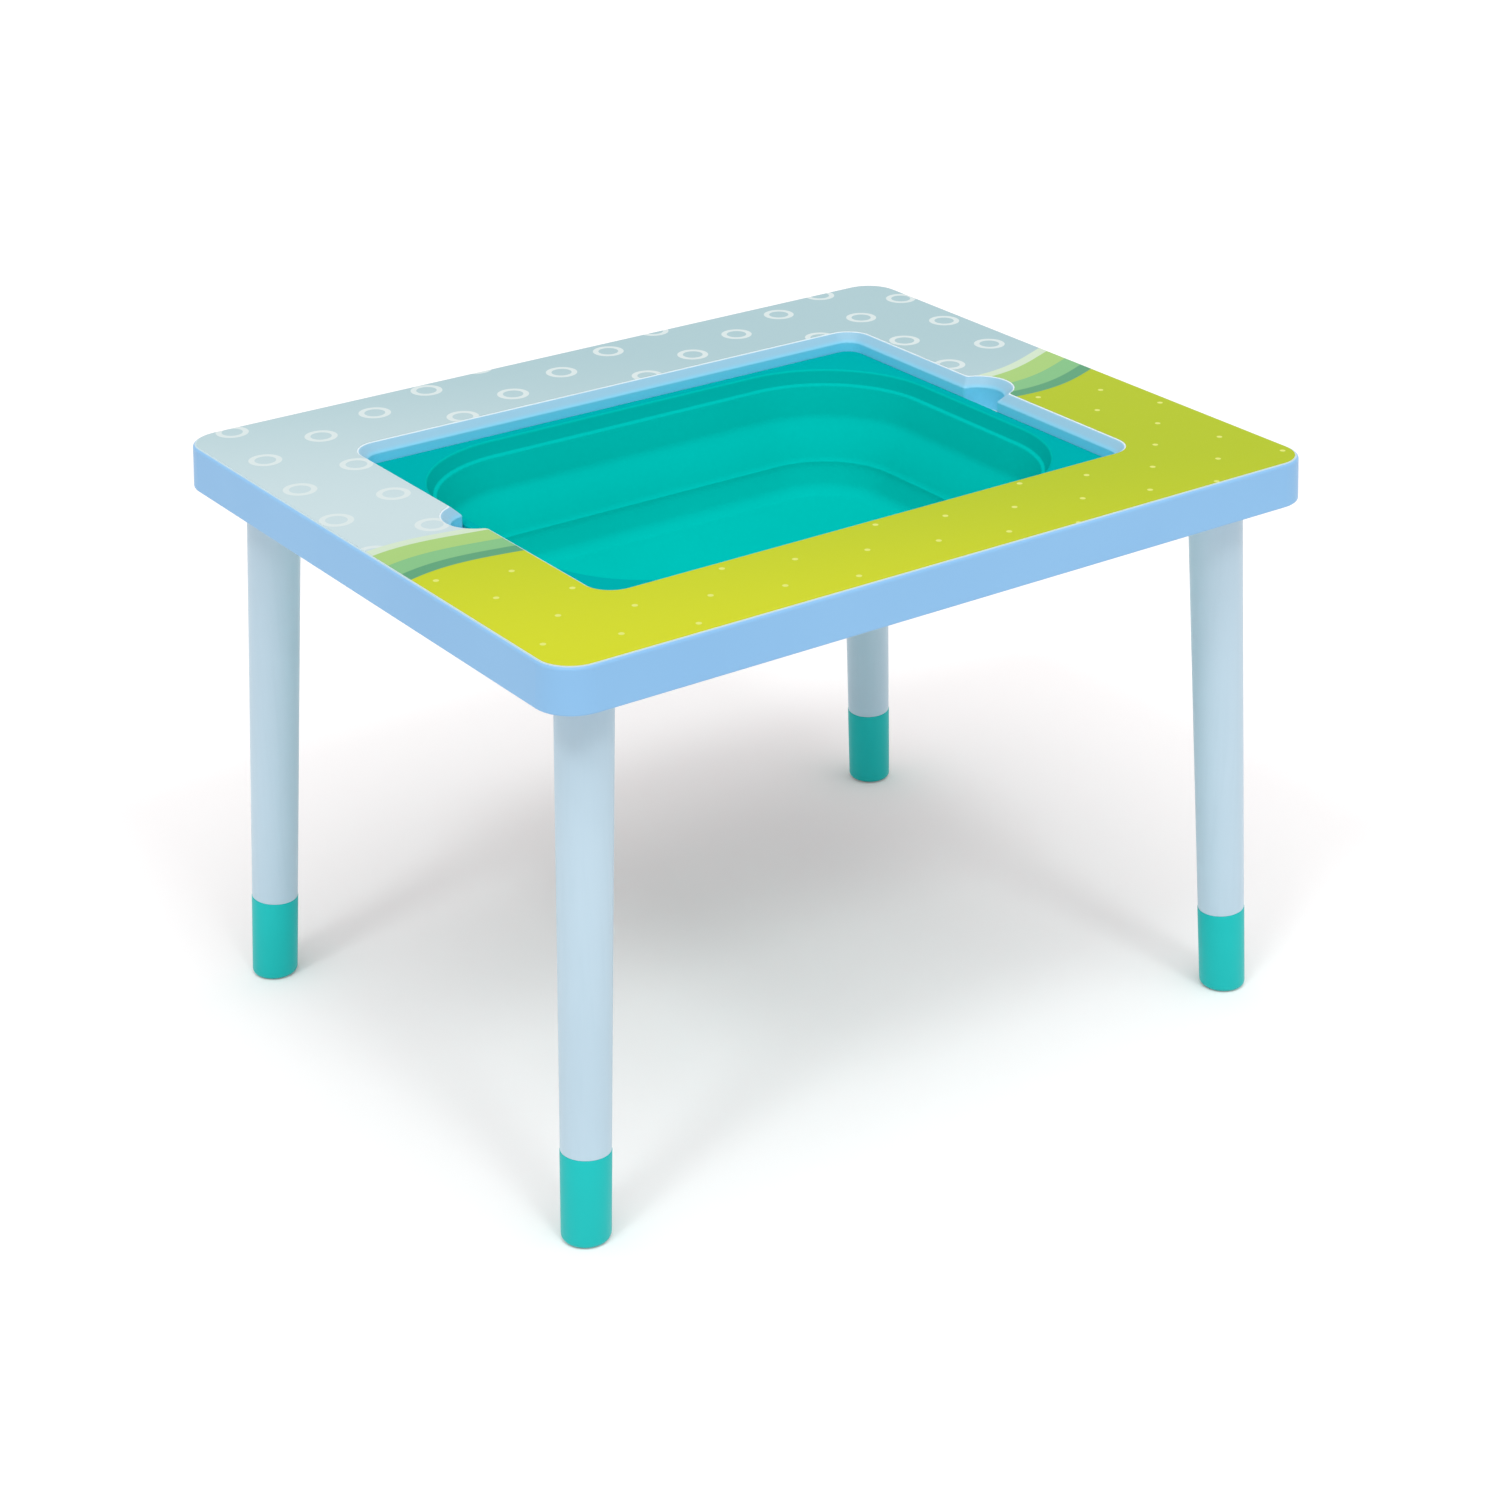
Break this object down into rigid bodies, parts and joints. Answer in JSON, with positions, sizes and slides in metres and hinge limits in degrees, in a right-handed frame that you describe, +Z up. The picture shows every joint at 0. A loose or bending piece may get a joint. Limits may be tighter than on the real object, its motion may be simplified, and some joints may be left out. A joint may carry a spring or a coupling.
{
  "type": "sensory table",
  "caption": "Child's play table with a rounded rectangular top, a lift-out folding bin set into a central opening with finger notches, and round tapered legs with coloured foot caps.",
  "frame": {"origin": "on the floor, under the middle of the table top", "axes": "+X along the long side of the top, to the right seen from the front; +Y towards the rear; +Z up"},
  "size_m": [0.6634, 0.5374, 0.454],
  "materials": {
    "shell": "satin moulded, light blue",
    "film": "matt printed film in pale sky and lime tones",
    "panel": "matt moulded, off-white",
    "screw_steel": "zinc plated",
    "bolt_steel": "zinc plated",
    "plate_steel": "zinc plated",
    "leg_paint": "satin paint, pale blue",
    "foot_cap": "satin, teal",
    "bin_plastic": "matt moulded, teal",
    "bin_web": "soft moulded, teal"
  },
  "bodies": {
    "table": {"top_shell": "shell", "top_film": "film", "underside_panel": "panel", "panel_screws": "screw_steel", "plate_screws": "screw_steel", "hanger_bolts": "bolt_steel", "leg_plate_front_left": "plate_steel", "leg_front_left": "leg_paint", "foot_cap_front_left": "foot_cap", "leg_plate_front_right": "plate_steel", "leg_front_right": "leg_paint", "foot_cap_front_right": "foot_cap", "leg_plate_rear_left": "plate_steel", "leg_rear_left": "leg_paint", "foot_cap_rear_left": "foot_cap", "leg_plate_rear_right": "plate_steel", "leg_rear_right": "leg_paint", "foot_cap_rear_right": "foot_cap"},
    "bin": {"bin_rim": "bin_plastic", "bin_fold_web": "bin_web"},
    "bin_base": {"bin_base_tray": "bin_plastic"}
  },
  "joints": [
    {"name": "bin_lift", "type": "slide", "parent": "table", "child": "bin", "axis": [0, 0, 1], "range_m": [0, 0.13]},
    {"name": "bin_collapse", "type": "slide", "parent": "bin", "child": "bin_base", "axis": [0, 0, 1], "range_m": [0, 0.061], "deforming": ["bin_fold_web"]}
  ]
}
